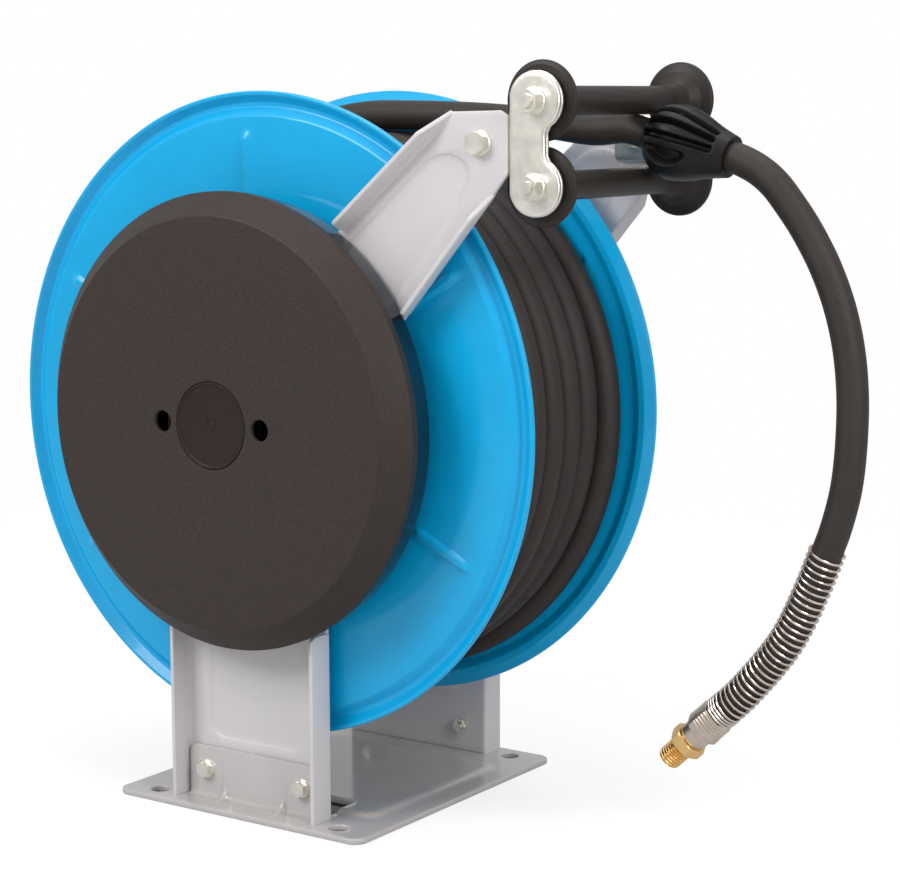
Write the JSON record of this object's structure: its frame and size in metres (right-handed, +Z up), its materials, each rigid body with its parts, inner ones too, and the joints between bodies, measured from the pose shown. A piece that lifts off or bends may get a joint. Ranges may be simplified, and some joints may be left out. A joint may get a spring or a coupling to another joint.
{
  "type": "spring rewind hose reel",
  "caption": "Spring rewind hose reel: pressed drum of black hose between channel posts on a bolted base, round spring motor cover, arms with spool rollers, hose stop and threaded hose end.",
  "frame": {"origin": "centre of the base plate's underside, in the middle of its four bolt holes", "axes": "+Z up, +X towards the hose outlet, -Y towards the spring motor cover; the drum turns about Y"},
  "size_m": [0.5979, 0.2753, 0.5012],
  "materials": {
    "base_paint": "glossy light grey paint",
    "post_paint": "semi-gloss light grey paint",
    "case_paint": "glossy blue-black paint",
    "cover_plastic": "fine-grained black moulding",
    "bush_plastic": "natural white plain bearing",
    "spring_steel": "drawn wire and strip",
    "drum_paint": "glossy sky-blue powder coat",
    "roller_plastic": "black moulded plastic",
    "stop_rubber": "black moulded rubber",
    "hose_rubber": "black rubber with a faint cloth print",
    "seal_rubber": "black seal rubber",
    "brass": "bright turned brass",
    "bright_steel": "bright plated steel",
    "zinc": "zinc plate",
    "machined_steel": "oiled machined steel"
  },
  "bodies": {
    "frame": {"base_plate": "base_paint", "front_post": "post_paint", "back_post": "post_paint", "post_bolts": "zinc", "post_nuts": "zinc", "front_arm": "post_paint", "back_arm": "post_paint", "arm_hub_bolts": "zinc", "arm_hub_nuts": "zinc", "front_bush": "bush_plastic", "back_bush": "bush_plastic", "spring_case": "case_paint", "spring_lid": "case_paint", "spring_cover": "cover_plastic", "cover_cap": "cover_plastic", "mainspring": "spring_steel", "spring_anchor_pin": "machined_steel", "pawl_pin": "zinc", "pawl_spring": "spring_steel", "guide_plate_front": "zinc", "guide_plate_back": "zinc", "guide_bolts": "zinc", "guide_nuts": "zinc", "upper_axle": "zinc", "lower_axle": "zinc", "axle_nuts": "zinc", "hose_feed": "hose_rubber", "hose_free": "hose_rubber", "stop_half_front": "stop_rubber", "stop_half_back": "stop_rubber", "stop_screws": "zinc", "spring_guard": "spring_steel", "ferrule": "bright_steel", "brass_adapter": "brass"},
    "drum": {"spring_arbor": "machined_steel", "drum_shaft": "machined_steel", "shaft_clip": "machined_steel", "drum_front_hub": "machined_steel", "drum_back_hub": "machined_steel", "hub_screws": "zinc", "drum_front_flange": "drum_paint", "drum_back_flange": "drum_paint", "drum_barrel": "drum_paint", "tie_rods": "zinc", "tie_rod_nuts": "zinc", "feed_pipe": "brass", "ratchet_wheel": "machined_steel", "hose_core": "hose_rubber", "hose_winding": "hose_rubber"},
    "inlet_swivel": {"swivel_body": "brass", "swivel_clip": "machined_steel", "swivel_seals": "seal_rubber"},
    "upper_roller": {"upper_roller": "roller_plastic"},
    "lower_roller": {"lower_roller": "roller_plastic"},
    "pawl": {"pawl": "machined_steel"}
  },
  "joints": [
    {"name": "drum_spin", "type": "hinge", "parent": "frame", "child": "drum", "pos_m": [0, -0.004, 0.2685], "axis": [0, 1, 0], "continuous": true, "deforming": ["mainspring"]},
    {"name": "inlet_turn", "type": "hinge", "parent": "frame", "child": "inlet_swivel", "pos_m": [0, 0.1275, 0.2685], "axis": [0, 1, 0], "continuous": true},
    {"name": "upper_roller_spin", "type": "hinge", "parent": "frame", "child": "upper_roller", "pos_m": [0.223, 0, 0.4767], "axis": [0, 1, 0], "continuous": true},
    {"name": "lower_roller_spin", "type": "hinge", "parent": "frame", "child": "lower_roller", "pos_m": [0.223, 0, 0.4253], "axis": [0, 1, 0], "continuous": true},
    {"name": "pawl_swing", "type": "hinge", "parent": "frame", "child": "pawl", "pos_m": [0.028, 0.0825, 0.1765], "axis": [0, 1, 0], "range_deg": [-25, 25], "stiffness_Nm_per_rad": 0.05}
  ]
}
